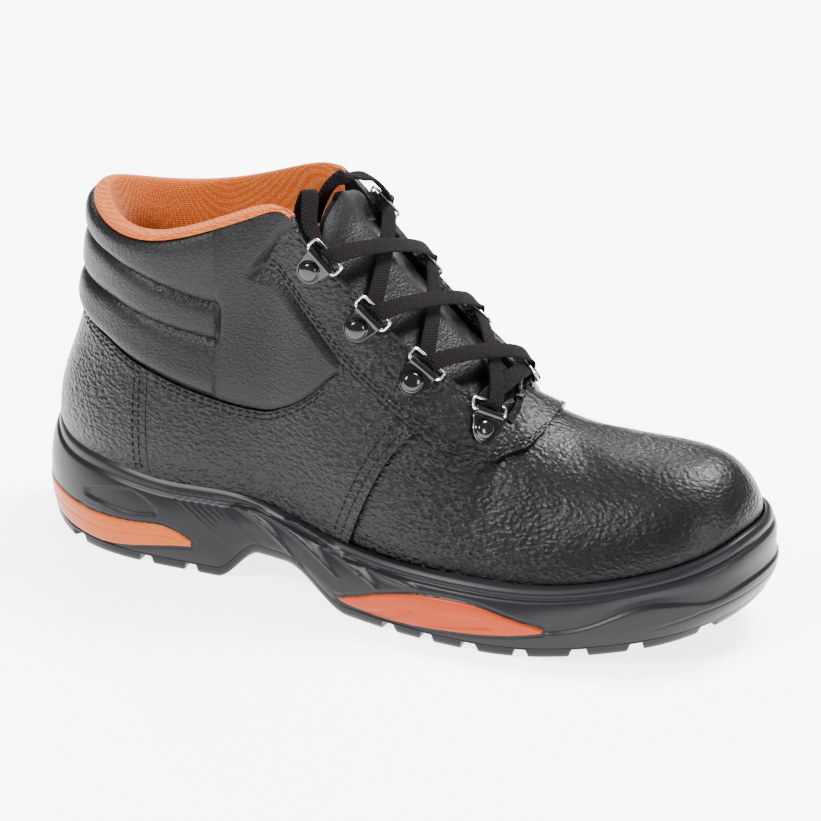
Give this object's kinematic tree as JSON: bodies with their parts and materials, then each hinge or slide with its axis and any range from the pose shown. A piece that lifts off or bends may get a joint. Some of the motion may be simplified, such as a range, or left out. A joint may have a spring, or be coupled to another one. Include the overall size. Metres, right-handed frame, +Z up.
{
  "type": "safety ankle boot",
  "caption": "Lace-up safety ankle boot with a hollow leather upper, padded collar, lace clips with rings and a lugged cup sole with side inserts.",
  "frame": {"origin": "centre of the footprint on the floor", "axes": "+X towards the toe, +Y towards the inner side of the right foot, +Z up"},
  "size_m": [0.306, 0.1108, 0.1641],
  "materials": {
    "leather": "semi-gloss pebbled black leather",
    "collar": "soft black coated cloth",
    "lining": "orange mesh lining",
    "sole_rubber": "satin black",
    "sole_insert": "satin orange",
    "clip": "glossy black lacquer",
    "ring_wire": "bright wire",
    "lace": "woven black"
  },
  "bodies": {
    "root": {"outsole": "sole_rubber", "midsole": "sole_rubber", "heel_insert": "sole_insert", "forefoot_insert_lateral": "sole_insert", "forefoot_insert_medial": "sole_insert", "insole": "lining", "upper": "leather", "quarter_lateral": "leather", "quarter_medial": "leather", "heel_counter": "leather", "eyestay": "leather", "padded_collar": "collar", "collar_lining": "lining", "tongue": "leather", "clip_1_lateral": "clip", "clip_2_lateral": "clip", "clip_3_lateral": "clip", "clip_4_lateral": "clip", "clip_1_medial": "clip", "clip_2_medial": "clip", "clip_3_medial": "clip", "clip_4_medial": "clip", "ring_1_lateral": "ring_wire", "ring_2_lateral": "ring_wire", "ring_3_lateral": "ring_wire", "ring_4_lateral": "ring_wire", "ring_1_medial": "ring_wire", "ring_2_medial": "ring_wire", "ring_3_medial": "ring_wire", "ring_4_medial": "ring_wire", "lace_crossing_1": "lace", "lace_crossing_2": "lace", "lace_crossing_3": "lace", "lace_bar": "lace", "lace_end_near": "lace", "lace_end_far": "lace"}
  },
  "joints": []
}
